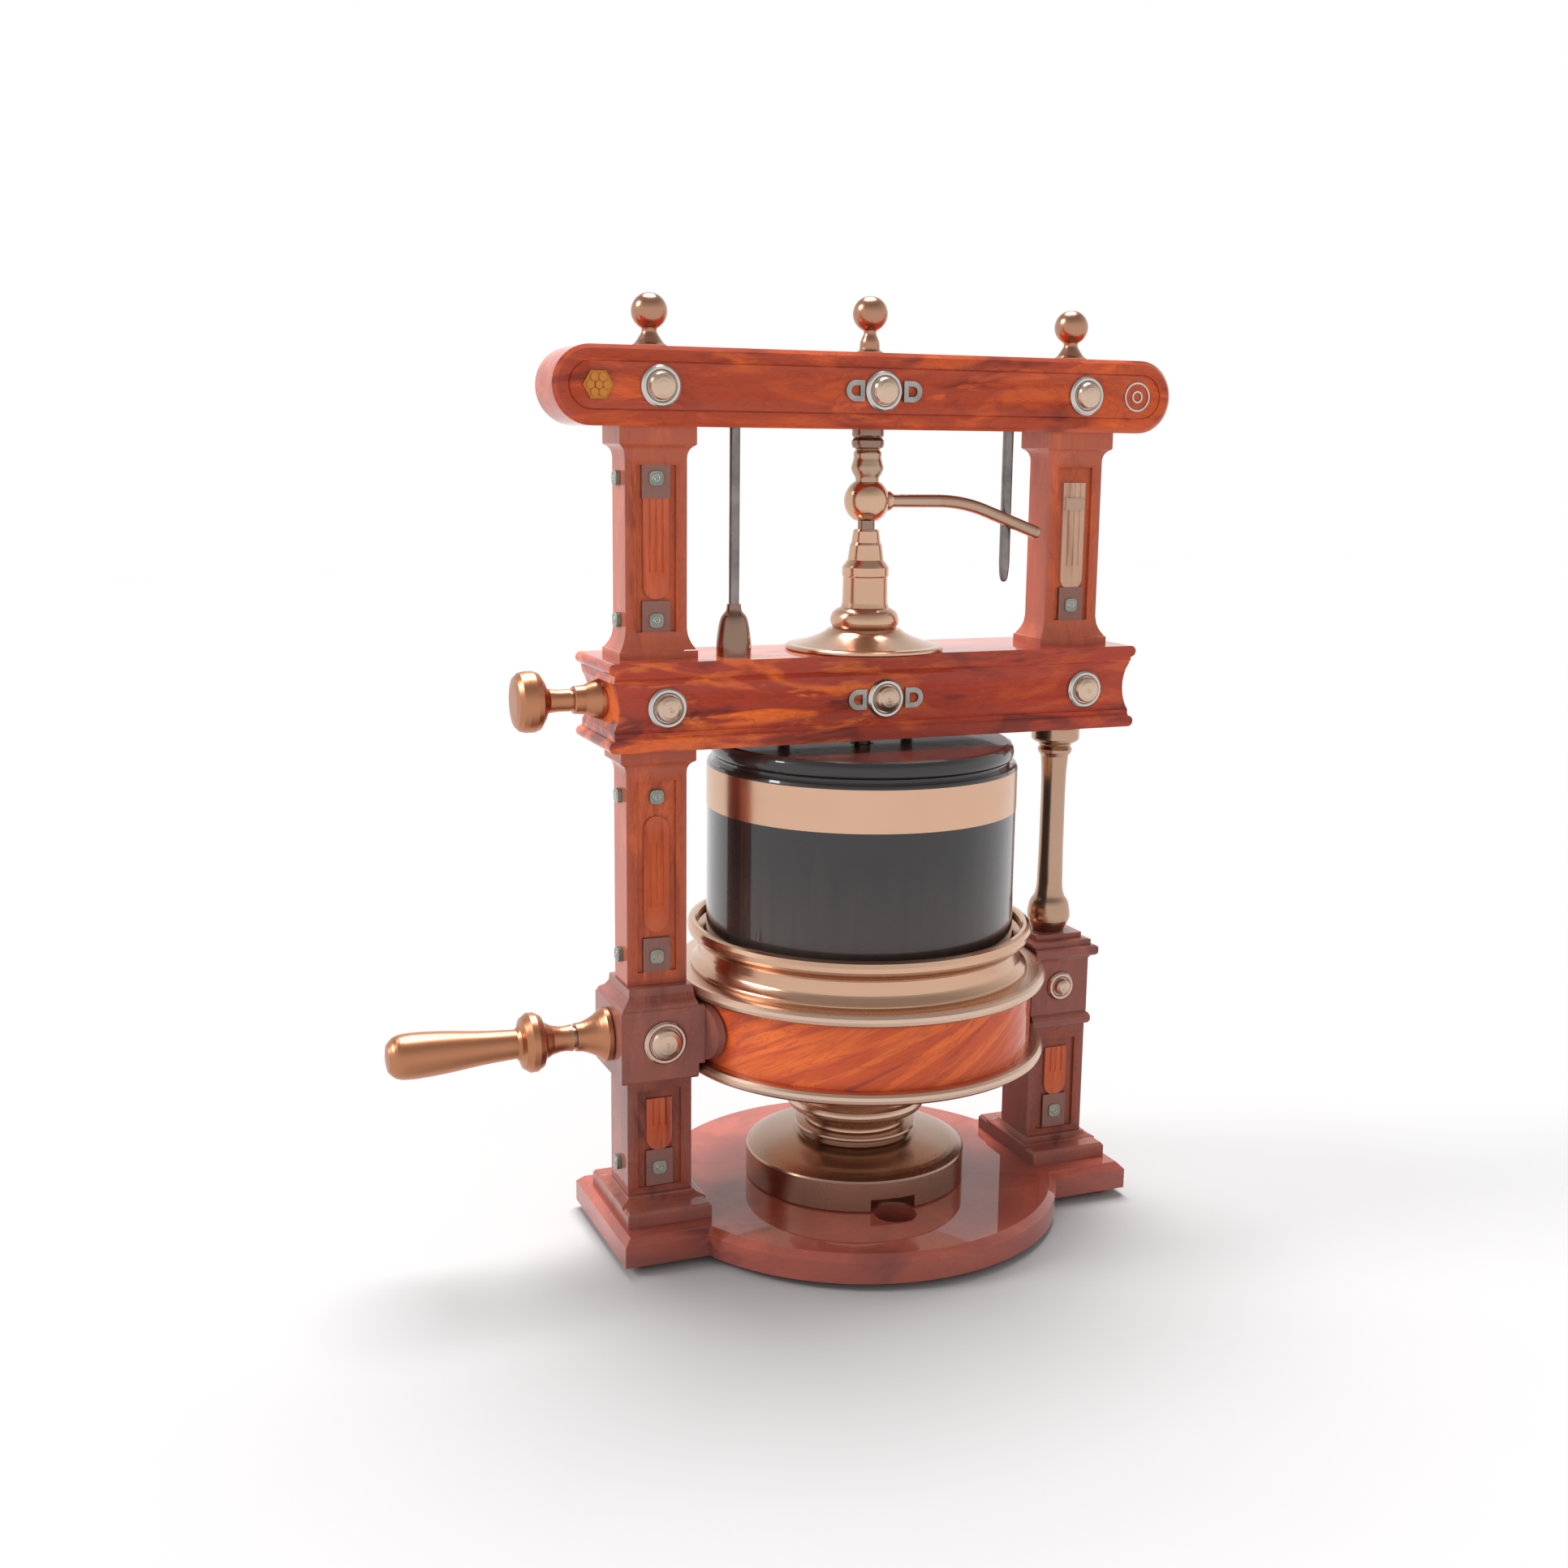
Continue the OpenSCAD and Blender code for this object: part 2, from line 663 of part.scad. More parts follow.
// Turned finial with a round foot, a slim neck and a ball
module finial(foot_r, neck_r, h) {
  ball_z = h - finial_ball_r;
  neck_z = ball_z - finial_ball_r;
  foot = smooth([[foot_r, 1.2], [foot_r - 2, 2.6], [neck_r + 2, 0.55 * neck_z], [neck_r, 0.9 * neck_z],
                 [neck_r + 0.3, neck_z + 1.2]], 4);
  translate([0, 0, top_top]) {
    turned(concat([[foot_r, 0]], foot, [[neck_r + 1.4, ball_z]]));
    translate([0, 0, ball_z]) sphere(r = finial_ball_r);
  }
}

module side_finials() {
  color("peru") for (side = [-1, 1]) at_post(side) difference() {
    finial(10.7, 4.6, side_finial_h);
    translate([0, 0, top_top - 1]) cylinder(r = finial_stud_r + still_fit, h = 11);
  }
}

module centre_finial() {
  color("peru") union() {
    finial(8.5, 4, centre_finial_h);
    translate([0, 0, top_top - 14]) cylinder(r = 3, h = 15);
  }
}

// ---- bolts and trim ----

// Places one bolt on each beam and waist face that looks along -Y
module at_bolts() {
  for (x = [-post_x, 0, post_x]) {
    translate([x, -beam_front, mid_beam_mid]) rotate([90, 0, 0]) children(0);
    translate([x, -top_beam_d / 2, top_beam_mid]) rotate([90, 0, 0]) children(1);
  }
  translate([-post_x, -waist_d / 2, clamp_z]) rotate([90, 0, 0]) children(2);
  translate([post_x, -lower_shaft_d / 2 - 1, right_block_z + 20]) rotate([90, 0, 0]) children(3);
}

// Turned rim under a bolt head, on the plane z = 0
module bolt_rim(r) {
  difference() {
    turned([[r, 0], [r, 1.6], [r - 1.2, 2.8], [r - 2.6, 2.8], [r - 3.6, 1.8], [0.5 * r, 1.8]]);
    translate([0, 0, -1]) cylinder(r = shank_r + still_fit, h = 10);
  }
}

// Domed bolt head over its rim, with a shank of the given length
module bolt_dome(r, shank) {
  dome_r = r - 4.2;
  turned([[shank_r, -shank], [shank_r, 1.85], [dome_r, 1.85], [dome_r, 4.2], [dome_r * 0.9, 5.6],
          [dome_r * 0.62, 6.9], [dome_r * 0.3, 7.5]]);
}

module bolt_holes() {
  at_bolts() {
    bolt_hole(mid_shank);
    bolt_hole(top_shank);
    bolt_hole(waist_shank);
    bolt_hole(small_shank);
  }
}

module bolt_hole(shank) {
  translate([0, 0, -shank - 0.5]) cylinder(r = shank_r + still_fit, h = shank + 1.5);
}

module bolt_rims() {
  color("silver") at_bolts() {
    bolt_rim(bolt_rim_r);
    bolt_rim(bolt_rim_r);
    bolt_rim(waist_rim_r);
    bolt_rim(small_rim_r);
  }
}

module bolt_domes() {
  color("peru") at_bolts() {
    bolt_dome(bolt_rim_r, mid_shank);
    bolt_dome(bolt_rim_r, top_shank);
    bolt_dome(waist_rim_r, waist_shank);
    bolt_dome(small_rim_r, small_shank);
  }
}

// Small slotted plate beside a centre bolt, standing on the plane z = 0
module key_plate() {
  linear_extrude(1.8) difference() {
    union() {
      square([6, 13], center = true);
      translate([3, 0]) intersection() {
        circle(r = 6.5);
        translate([0, -7]) square([8, 14]);
      }
    }
    translate([3, 0]) circle(r = 3.2);
    translate([0, -3.2]) square([3, 6.4]);
  }
}

module key_plates() {
  start = bolt_rim_r + 4;
  color("silver") for (side = [0, 180]) {
    translate([0, -beam_front, mid_beam_mid]) rotate([90, 0, 0]) rotate([0, 0, side])
      translate([start, 0, 0]) key_plate();
    translate([0, -top_beam_d / 2, top_beam_mid]) rotate([90, 0, 0]) rotate([0, 0, side])
      translate([start, 0, 0]) key_plate();
  }
}

module at_medallion(side) {
  translate([side * (top_beam_len / 2 - top_beam_h / 2 - 3.5), -top_beam_d / 2, top_beam_mid])
    rotate([90, 0, 0]) children();
}

module hex_medallion() {
  color("goldenrod") at_medallion(-1) {
    cylinder(r = medallion_r, h = 1.4, $fn = 6);
    for (i = [0:5]) rotate([0, 0, 60 * i]) translate([medallion_r * 0.52, 0, 0])
      cylinder(r = 2.3, h = 2.2);
    cylinder(r = 2.2, h = 2.8);
  }
}

// Two rings of flat wire on the wood, one inside the other
module ring_medallion() {
  wire = 1.1;
  color("lightgray") at_medallion(1)
    for (r = [medallion_r, medallion_r * 0.42]) rotate_extrude() translate([r - wire, 0])
      square([wire, 0.9]);
}

// ---- nut tower, bush and rods ----

module nut_tower() {
  z = beam_top;
  foot = [[flange_foot_r - 0.8, z], [flange_foot_r, z + 0.8], [flange_foot_r, z + 2.2],
          [flange_foot_r - 1.2, z + 3]];
  flare = smooth([[46, z + 3.4], [38, z + 5.8], [30, z + 8.8], [25.5, z + 11.4], [23.5, z + 13.2]], 4);
  bead = smooth([[20.4, z + 14], [22, z + 16.5], [22.2, z + 20], [20.4, z + 24], [17, z + 26.4]], 3);
  body = [[15.5, z + 27], [14.7, z + 30], [14.4, z + 46.4], [15.1, z + 47.4], [15.1, z + 52.6],
          [14.2, z + 54]];
  cone = [[11.6, z + 57.4], [10.3, z + 67], [9.4, z + 68.6], [8.4, tower_top - 1.4], [7.6, tower_top]];
  color("tan") difference() {
    turned(concat(foot, flare, bead, body, cone));
    cylinder(r = screw_r + run_fit, h = far);
  }
}

module top_bush() {
  lip = bush_r;
  color("tan") difference() {
    turned([[lip - 2.6, bush_lip_z], [lip - 0.6, bush_lip_z + 1.2], [lip, bush_lip_z + 3],
            [lip, bush_lip_z + 5.4], [lip - 1.4, bush_lip_z + 7], [lip - 0.2, bush_lip_z + 8.6],
            [lip - 0.2, top_z], [lip - 1, top_z], [lip - 1, top_z + 30]]);
    cylinder(r = journal_r + run_fit, h = far);
  }
}

module guide_rod() {
  color("gray") translate([guide_x, guide_y, beam_top + 8])
    cylinder(r = guide_r, h = upper_post_h + upper_capital_h - 1);
}

module rod_socket() {
  z = beam_top;
  bell = smooth([[11, z], [10.9, z + 8], [9.6, z + 18], [8, z + 24], [5.6, z + 27], [4.7, z + 29],
                 [4.4, z + 32]], 3);
  color("peru") translate([guide_x, guide_y, 0]) difference() {
    turned(bell);
    translate([0, 0, z + 7]) cylinder(r = guide_r + still_fit, h = far);
  }
}

module stop_rod() {
  z = stop_z;
  outline = concat([[1, z]], smooth([[2.2, z + 1.2], [3, z + 5], [stop_r, z + 12]], 3),
                   [[stop_r, top_z + 7]]);
  color("gray") translate([stop_x, stop_y, 0]) turned(outline);
}

module platen_pins() {
  color("gray") for (side = [-1, 1]) translate([side * pin_x, pin_y, pin_low])
    cylinder(r = pin_r, h = pin_top - pin_low);
}

// ---- pedestal and bed ----

module pedestal_disc() {
  z = base_top;
  rim = [[pedestal_r - 1, z], [pedestal_r, z + 1], [pedestal_r, z + 20]];
  dome = smooth([[pedestal_r - 0.8, z + 21.2], [pedestal_r - 8, z + 24.5], [pedestal_r - 20, z + 27.2],
                 [pedestal_r - 31, z + 29]], 3);
  neck = [[40, z + 29.5], [38, z + 30.5], [38, z + 34], [40.5, z + 34.8], [41, z + 36],
          [40.5, z + 37.2], [36, z + 38]];
  color("tan") difference() {
    turned(concat(rim, dome, neck));
    cylinder(r = pivot_r + still_fit, h = far);
    translate([hole_x, hole_y, 0]) cylinder(r = hole_r + 2, h = z + 9);
  }
}

module pedestal_cup() {
  z = base_top + 38;
  cup = smooth([[34, z + 1], [34.4, z + 4], [39, z + 8], [45, z + 11.5], [47, z + 15.5],
                [46, z + 18.5]], 4);
  color("tan") difference() {
    turned(concat([[33, z]], cup, [[44, z + 20], [36, z + 21], [36, z + 22], [28, pedestal_top]]));
    cylinder(r = pivot_r + still_fit, h = far);
  }
}

module pivot_pin() {
  color("gray") translate([0, 0, base_z]) cylinder(r = pivot_r, h = bed_z - base_z - 2);
}

module thrust_washer() {
  color("gold") translate([0, 0, pedestal_top]) difference() {
    cylinder(r = 26, h = washer_t);
    translate([0, 0, -1]) cylinder(r = pivot_r + still_fit + 0.3, h = far);
  }
}

module bed_hub() {
  z = hub_z;
  outline = [[28, z], [30, z + 2], [30, z + 7], [27, z + 9], [25, z + 14], [26, z + 19],
             [34, z + hub_h - 5], [46, z + hub_h - 3], [48, z + hub_h - 1.5], [48, bed_z]];
  color("tan") difference() {
    turned(outline);
    translate([0, 0, z - 1]) cylinder(r = pivot_r + run_fit, h = hub_h - 0.5);
  }
}

// Flat disc with rounded rim, from z0 up by t
module rim_disc(r, z0, t) {
  n = 6;
  turned([for (i = [0:n]) [r - t / 2 + t / 2 * sin(180 * i / n), z0 + t / 2 - t / 2 * cos(180 * i / n)]]);
}

module lower_flange() {
  color("burlywood") rim_disc(flange_r, bed_z, lower_flange_t);
}

module bed_ring() {
  color("orangered") translate([0, 0, ring_z]) difference() {
    cylinder(r = ring_r, h = ring_h);
    translate([0, 0, -1]) cylinder(r = ring_r - ring_wall, h = ring_h + 2);
  }
}

module upper_flange() {
  color("burlywood") rim_disc(flange_r, ring_top, upper_flange_t);
}

module tray() {
  z = tray_z;
  r = tray_out_r;
  lip = r + 7.5;
  foot = smooth([[r + 5, z], [r + 5.5, z + 2], [r + 3, z + 4.5], [r + 0.6, z + 7.5], [r, z + 11]], 3);
  wall = smooth([[r, z + 14], [r + 0.5, z + 17.5], [r + 3.5, z + 20.5]], 3);
  edge = [[lip - 1, z + 22], [lip, z + 24], [lip + 0.2, z + 27], [lip - 0.8, z + 29.6],
          [lip - 3, tray_top], [r + 2.4, tray_top], [r + 1.2, tray_top - 1.5],
          [r + 1, tray_top - 7], [tray_in_r, tray_top - 10.5], [tray_in_r, z + tray_floor]];
  color("tan") rotate_extrude()
    polygon(concat([[0, z]], foot, wall, edge, [[0, z + tray_floor]]));
}

// ---- platen ----

module drum_shell() {
  color("dimgray") difference() {
    turned([[drum_r - 3, face_z], [drum_r - 0.8, face_z + 1], [drum_r, face_z + 3],
            [drum_r, drum_top - 2], [drum_r - 0.7, drum_top - 0.6], [drum_r - 2, drum_top]]);
    translate([0, 0, face_z - 1]) cylinder(r = drum_r - drum_wall, h = far);
    translate([0, 0, band_z]) difference() {
      cylinder(r = drum_r + 1, h = band_h);
      translate([0, 0, -1]) cylinder(r = drum_r - band_t, h = band_h + 2);
    }
  }
}

module drum_band() {
  color("burlywood") translate([0, 0, band_z]) difference() {
    cylinder(r = drum_r + 0.2, h = band_h);
    translate([0, 0, -1]) cylinder(r = drum_r - band_t, h = band_h + 2);
  }
}

module drum_lid() {
  z = lid_z;
  spigot_r = drum_r - drum_wall - still_fit;
  bead = smooth([[drum_r - 3.8, z + 0.6], [drum_r - 2.6, z + 2.4], [drum_r - 2.3, z + 5],
                 [drum_r - 3, z + 8], [drum_r - 4.6, lid_top - 0.8]], 4);
  outline = concat([[spigot_r, z - 12], [spigot_r, drum_top], [drum_r - 5, drum_top], [drum_r - 5, z]],
                   bead, [[drum_r - 7, lid_top]]);
  color("dimgray") difference() {
    turned(outline);
    translate([0, 0, z - 13]) cylinder(r = spigot_r - 8, h = 13);
    cylinder(r = screw_r + run_fit, h = far);
    for (side = [-1, 1]) translate([side * pin_x, pin_y, 0]) cylinder(r = pin_r + run_fit, h = far);
  }
}

module platen_core() {
  bed_t = 10;
  color("gray") union() {
    translate([0, 0, face_z]) cylinder(r = drum_r - drum_wall - still_fit, h = bed_t);
    translate([0, 0, face_z]) cylinder(r = core_r, h = core_top - face_z);
  }
}

module thrust_collar() {
  color("gold") difference() {
    translate([0, 0, core_top + 0.3]) cylinder(r = collar_r, h = lid_z - core_top - 0.6);
    translate([0, 0, core_top + 3]) cylinder(r = screw_r + still_fit - 1, h = far);
  }
}

module spindle_screw() {
  z = core_top + 3;
  color("gray") turned([[screw_r - 1, z], [screw_r - 1, lid_z - 0.3], [screw_r, lid_z - 0.3],
                        [screw_r, hub_ball_z]]);
}

module ball_hub() {
  low = hub_ball_z - 12.5;
  color("tan") difference() {
    union() {
      translate([0, 0, hub_ball_z]) sphere(r = hub_ball_r);
      translate([0, 0, hub_ball_z]) cylinder(r = 7.5, h = head_z - hub_ball_z);
      rotate([0, 0, -lever_rest]) x_turned([[6.4, 10], [6.4, 15], [5.6, 16.5]], hub_ball_z);
    }
    translate([0, 0, low - far]) cylinder(r = hub_ball_r, h = far);
    translate([0, 0, low - 1]) cylinder(r = screw_r + still_fit, h = hub_ball_z - low + 1);
    translate([0, 0, head_z]) cylinder(r = hub_ball_r, h = hub_ball_r);
    rotate([0, 0, -lever_rest]) x_rod(lever_r + still_fit, 9, 30, hub_ball_z);
  }
}

module spindle_head() {
  z = head_z;
  top = bush_lip_z - 0.3;
  h = top - z;
  rings = smooth([[7.5, z], [7.6, z + 0.12 * h], [9.2, z + 0.26 * h], [10.4, z + 0.42 * h],
                  [9.6, z + 0.6 * h], [8.8, z + 0.74 * h], [9, z + 0.88 * h], [7.8, top]], 4);
  color("tan") turned(concat(rings, [[journal_r, top], [journal_r, journal_top]]));
}

// Lever rod: straight out of the hub, bent down in one arc, then straight to its round tip.
// Each stretch is a hair slimmer than the one before, and starts a little inside it.
module lever() {
  start = 10;
  bend_x = 48;
  bend_r = 90;
  bend = 21.5;
  slimmer = 0.05;
  overlap = 1;
  tip_r = lever_r - 2 * slimmer;
  bend_end = [bend_x + bend_r * sin(bend), -bend_r * (1 - cos(bend))];
  tail = (lever_len - tip_r - bend_end.x) / cos(bend);
  color("peru") rotate([0, 0, -lever_rest]) translate([0, 0, hub_ball_z]) union() {
    translate([start, 0, 0]) rotate([0, 90, 0])
      cylinder(r = lever_r, h = bend_x + overlap - start);
    translate([bend_x, 0, -bend_r]) rotate([90, 0, 0]) rotate([0, 0, 90 - bend])
      rotate_extrude(angle = bend) translate([bend_r, 0]) circle(r = lever_r - slimmer);
    translate([bend_end.x, 0, bend_end.y]) rotate([0, 90 + bend, 0]) {
      translate([0, 0, -overlap]) cylinder(r = tip_r, h = tail + overlap);
      translate([0, 0, tail]) sphere(r = tip_r);
    }
  }
}

// ---- clamps ----

module clamp_shoe() {
  boss_x = shoe_out_r + shoe_boss_len;
  color("rosybrown") difference() {
    union() {
      intersection() {
        difference() {
          cylinder(r = shoe_out_r, h = far);
          translate([0, 0, -1]) cylinder(r = shoe_in_r, h = far + 2);
        }
        translate([-shoe_in_r, 0, shoe_z]) rotate([0, 90, 0]) rotate([0, 0, 90])
          linear_extrude(80, center = true) stadium(shoe_h / 2, 2 * shoe_half_w);
      }
      difference() {
        x_rod(shoe_boss_r, -boss_x, -shoe_in_r, clamp_z);
        cylinder(r = shoe_in_r, h = far);
      }
    }
    x_rod(clamp_r + run_fit, -boss_x - 1, -shoe_out_r - 2, clamp_z);
  }
}

module clamp_screw() {
  color("gray") x_rod(clamp_r, -shoe_out_r - 2.3, -grip_x - 12, clamp_z);
}

module clamp_grip() {
  x = -grip_x;
  tip = x - 10 - grip_len;
  grip = smooth([[8.5, tip + 1], [13, tip + 6], [14.3, tip + 16], [13.2, tip + 36],
                 [10.6, tip + 60], [9.2, x - 13]], 4);
  bead = [[11, x - 11], [16, x - 9], [18.8, x - 5], [18.8, x - 1], [16.5, x + 3], [12, x + 5],
          [10.5, x + 8]];
  stem = smooth([[9.4, x + 10], [clamp_r + 1.2, x + 15], [clamp_r + 1, x + 19],
                 [clamp_r + 1.6, x + 23]], 3);
  color("peru") difference() {
    x_turned(concat([[3, tip]], grip, bead, stem), clamp_z);
    x_rod(clamp_r + still_fit, x - 12.3, 0, clamp_z);
  }
}

module clamp_ferrule() {
  x = -block_face_x;
  color("peru") difference() {
    x_turned(concat(smooth([[9, x - 22], [9.6, x - 17], [12.6, x - 10], [16.2, x - 5]], 3),
                    [[17.2, x - 4], [17.2, x - 1], [16.2, x]]), clamp_z);
    x_rod(clamp_r + run_fit, x - 40, x + 1, clamp_z);
  }
}

module lock_shoe() {
  color("gray") difference() {
    x_rod(lock_r + 2, -lock_shoe_x - 8, -lock_shoe_x, lock_z);
    x_rod(lock_r + run_fit, -lock_shoe_x - 9, -lock_shoe_x - 2, lock_z);
  }
}

module lock_knob() {
  head_x = -knob_face_x - 37;
  tip = head_x - 20;
  head = [[10, tip], [15.5, tip + 1], [18, tip + 3.5], [18.8, tip + 7], [18.8, tip + 12],
          [17.5, tip + 15.5], [13, tip + 18.5], [8.6, tip + 20.5]];
  stem = smooth([[7.4, head_x + 2], [6.8, head_x + 8], [6.9, head_x + 15]], 3);
  color("peru") x_turned(concat(head, stem, [[lock_r, head_x + 15], [lock_r, -lock_shoe_x - 2.3]]), lock_z);
}

module lock_ferrule() {
  x = -knob_face_x;
  color("peru") difference() {
    x_turned([[8, x - 20], [8.6, x - 19], [9, x - 13], [11, x - 8], [ferrule_r - 0.3, x - 4],
              [ferrule_r, x - 2], [ferrule_r, x + 0.4], [ferrule_spigot_r, x + 0.4],
              [ferrule_spigot_r, -lock_seat_x]], lock_z);
    x_rod(lock_r + run_fit, x - 30, 0, lock_z);
  }
}

base_plate();
base_feet();
post_plinths();
left_lower_shaft();
left_waist_block();
left_middle_shaft();
left_capital();
right_lower_shaft();
right_waist_block();
right_cap();
right_pillar();
upper_left_post();
upper_right_post();
upper_capitals();
post_inlays();
pale_inlay();
post_studs();
mid_beam();
top_beam();
tie_rods();
tie_rod_nuts();
side_finials();
centre_finial();
bolt_rims();
bolt_domes();
key_plates();
hex_medallion();
ring_medallion();
nut_tower();
top_bush();
guide_rod();
rod_socket();
stop_rod();
platen_pins();
pedestal_disc();
pedestal_cup();
pivot_pin();
thrust_washer();
bed_hub();
lower_flange();
bed_ring();
upper_flange();
tray();
drum_shell();
drum_band();
drum_lid();
platen_core();
spindle_screw();
thrust_collar();
ball_hub();
spindle_head();
lever();
clamp_shoe();
clamp_screw();
clamp_grip();
clamp_ferrule();
lock_shoe();
lock_knob();
lock_ferrule();
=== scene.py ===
"""Looks of the tabletop printing press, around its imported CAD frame. Metres, +Z up."""

import json
import math

import bmesh
import bpy
from mathutils import Matrix, Vector


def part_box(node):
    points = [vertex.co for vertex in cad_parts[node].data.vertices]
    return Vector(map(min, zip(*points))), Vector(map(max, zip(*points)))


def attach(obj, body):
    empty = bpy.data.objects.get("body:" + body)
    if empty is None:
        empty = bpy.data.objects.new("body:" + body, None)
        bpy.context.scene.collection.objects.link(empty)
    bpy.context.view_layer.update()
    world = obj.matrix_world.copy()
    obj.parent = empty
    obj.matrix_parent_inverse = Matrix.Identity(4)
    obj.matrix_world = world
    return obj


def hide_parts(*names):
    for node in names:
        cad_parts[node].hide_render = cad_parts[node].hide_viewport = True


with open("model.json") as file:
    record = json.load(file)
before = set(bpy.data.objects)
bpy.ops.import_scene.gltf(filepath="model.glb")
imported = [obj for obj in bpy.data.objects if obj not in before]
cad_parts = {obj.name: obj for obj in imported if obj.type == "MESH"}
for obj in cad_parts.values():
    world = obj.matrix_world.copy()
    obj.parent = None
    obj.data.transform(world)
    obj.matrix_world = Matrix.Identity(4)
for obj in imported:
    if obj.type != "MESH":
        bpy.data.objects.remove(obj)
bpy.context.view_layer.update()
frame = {"nodes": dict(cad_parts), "record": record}
nodes = frame["nodes"]
MM = 0.001


# ---------------------------------------------------------------- camera

def make_camera():
    """Camera in front of the press, to the left of it and looking slightly down."""
    place = Vector((-0.4913, -1.0701, 0.5127))
    yaw, pitch, roll = (math.radians(a) for a in (22.18, 10.65, 0.66))
    look = Vector((math.sin(yaw) * math.cos(pitch), math.cos(yaw) * math.cos(pitch), -math.sin(pitch)))
    level = Vector((math.cos(yaw), -math.sin(yaw), 0))
    over = level.cross(look)
    right = level * math.cos(roll) + over * math.sin(roll)
    up = over * math.cos(roll) - level * math.sin(roll)
    camera = bpy.data.objects.new("camera", bpy.data.cameras.new("camera"))
    camera.matrix_world = Matrix.Translation(place) @ Matrix((right, up, -look)).transposed().to_4x4()
    camera.data.lens = 41.61
    camera.data.sensor_width = 36
    camera.data.clip_start = 0.01
    bpy.context.scene.collection.objects.link(camera)
    bpy.context.scene.camera = camera


# ---------------------------------------------------------------- node helpers

class Shader:
    """Short ways to build one material's node tree."""

    def __init__(self, name, **sockets):
        self.material = bpy.data.materials.new(name)
        self.material.use_nodes = True
        self.tree = self.material.node_tree
        self.tree.nodes.clear()
        output = self.tree.nodes.new("ShaderNodeOutputMaterial")
        self.bsdf = self.tree.nodes.new("ShaderNodeBsdfPrincipled")
        self.tree.links.new(self.bsdf.outputs[0], output.inputs[0])
        for socket, value in sockets.items():
            self.bsdf.inputs[socket.replace("_", " ")].default_value = value
        coords = self.tree.nodes.new("ShaderNodeTexCoord")
        self.place = coords.outputs["Object"]

    def node(self, kind, settings=None, **inputs):
        made = self.tree.nodes.new("ShaderNode" + kind)
        for key, value in (settings or {}).items():
            setattr(made, key, value)
        for key, value in inputs.items():
            self.put(made.inputs[key.replace("_", " ")], value)
        return made

    def put(self, socket, value):
        if isinstance(value, bpy.types.NodeSocket):
            self.tree.links.new(value, socket)
        else:
            socket.default_value = value

    def stretched(self, scale, place=None):
        """Object coordinates scaled along each axis, for grain that runs one way."""
        return self.node("Mapping", Vector=place or self.place, Scale=scale).outputs[0]

    def coordinate(self, axis):
        """One of the object coordinates, in metres."""
        return self.node("SeparateXYZ", Vector=self.place).outputs[axis]

    def twisted(self, rate):
        """Object coordinates wound round the Z axis by rate radians per metre of height."""
        angle = self.maths("MULTIPLY", self.coordinate("Z"), -rate)
        how = {"rotation_type": "Z_AXIS"}
        return self.node("VectorRotate", how, Vector=self.place, Angle=angle).outputs[0]

    def noise(self, scale, detail=4, rough=0.55, place=None, distort=0.0):
        made = self.node("TexNoise", Vector=place or self.place, Scale=scale, Detail=detail,
                         Roughness=rough, Distortion=distort)
        return made.outputs["Fac"]

    def ramp(self, value, *stops):
        """Colour ramp through stops of (position, colour)."""
        made = self.node("ValToRGB", Fac=value)
        band = made.color_ramp
        while len(band.elements) < len(stops):
            band.elements.new(0.5)
        for element, (position, colour) in zip(band.elements, stops):
            element.position = position
            element.color = (*colour, 1)
        return made.outputs[0]

    def level(self, value, low, high, to_low=0.0, to_high=1.0):
        """The range from low to high spread over the range from to_low to to_high, and clamped there."""
        made = self.node("MapRange", Value=value)
        made.clamp = True
        for key, number in zip(("From Min", "From Max", "To Min", "To Max"), (low, high, to_low, to_high)):
            made.inputs[key].default_value = number
        return made.outputs[0]

    def mix(self, share, a, b):
        """Colour a changing to colour b as share goes from 0 to 1."""
        made = self.node("Mix", {"data_type": "RGBA", "blend_type": "MIX"})
        self.put(made.inputs[0], share)
        for socket, colour in ((6, a), (7, b)):      # the node's two colour sockets
            self.put(made.inputs[socket], (*colour, 1) if isinstance(colour, tuple) else colour)
        return made.outputs[2]

    def maths(self, how, a, b=0.0):
        made = self.node("Math", {"operation": how})
        self.put(made.inputs[0], a)
        self.put(made.inputs[1], b)
        return made.outputs[0]

    def edge(self, low=0.52, high=0.6):
        """1 on sharp outer edges, 0 on flat faces."""
        return self.level(self.node("NewGeometry").outputs["Pointiness"], low, high)

    def crease(self, low=0.4, high=0.49):
        """1 in sharp inner corners, 0 on flat faces."""
        return self.level(self.node("NewGeometry").outputs["Pointiness"], low, high, 1.0, 0.0)

    def colour(self, value):
        self.put(self.bsdf.inputs["Base Color"], value)

    def rough(self, value):
        self.put(self.bsdf.inputs["Roughness"], value)

    def bump(self, height, strength, distance=0.0005):
        made = self.node("Bump", Height=height, Strength=strength, Distance=distance)
        self.put(self.bsdf.inputs["Normal"], made.outputs[0])


# ---------------------------------------------------------------- materials

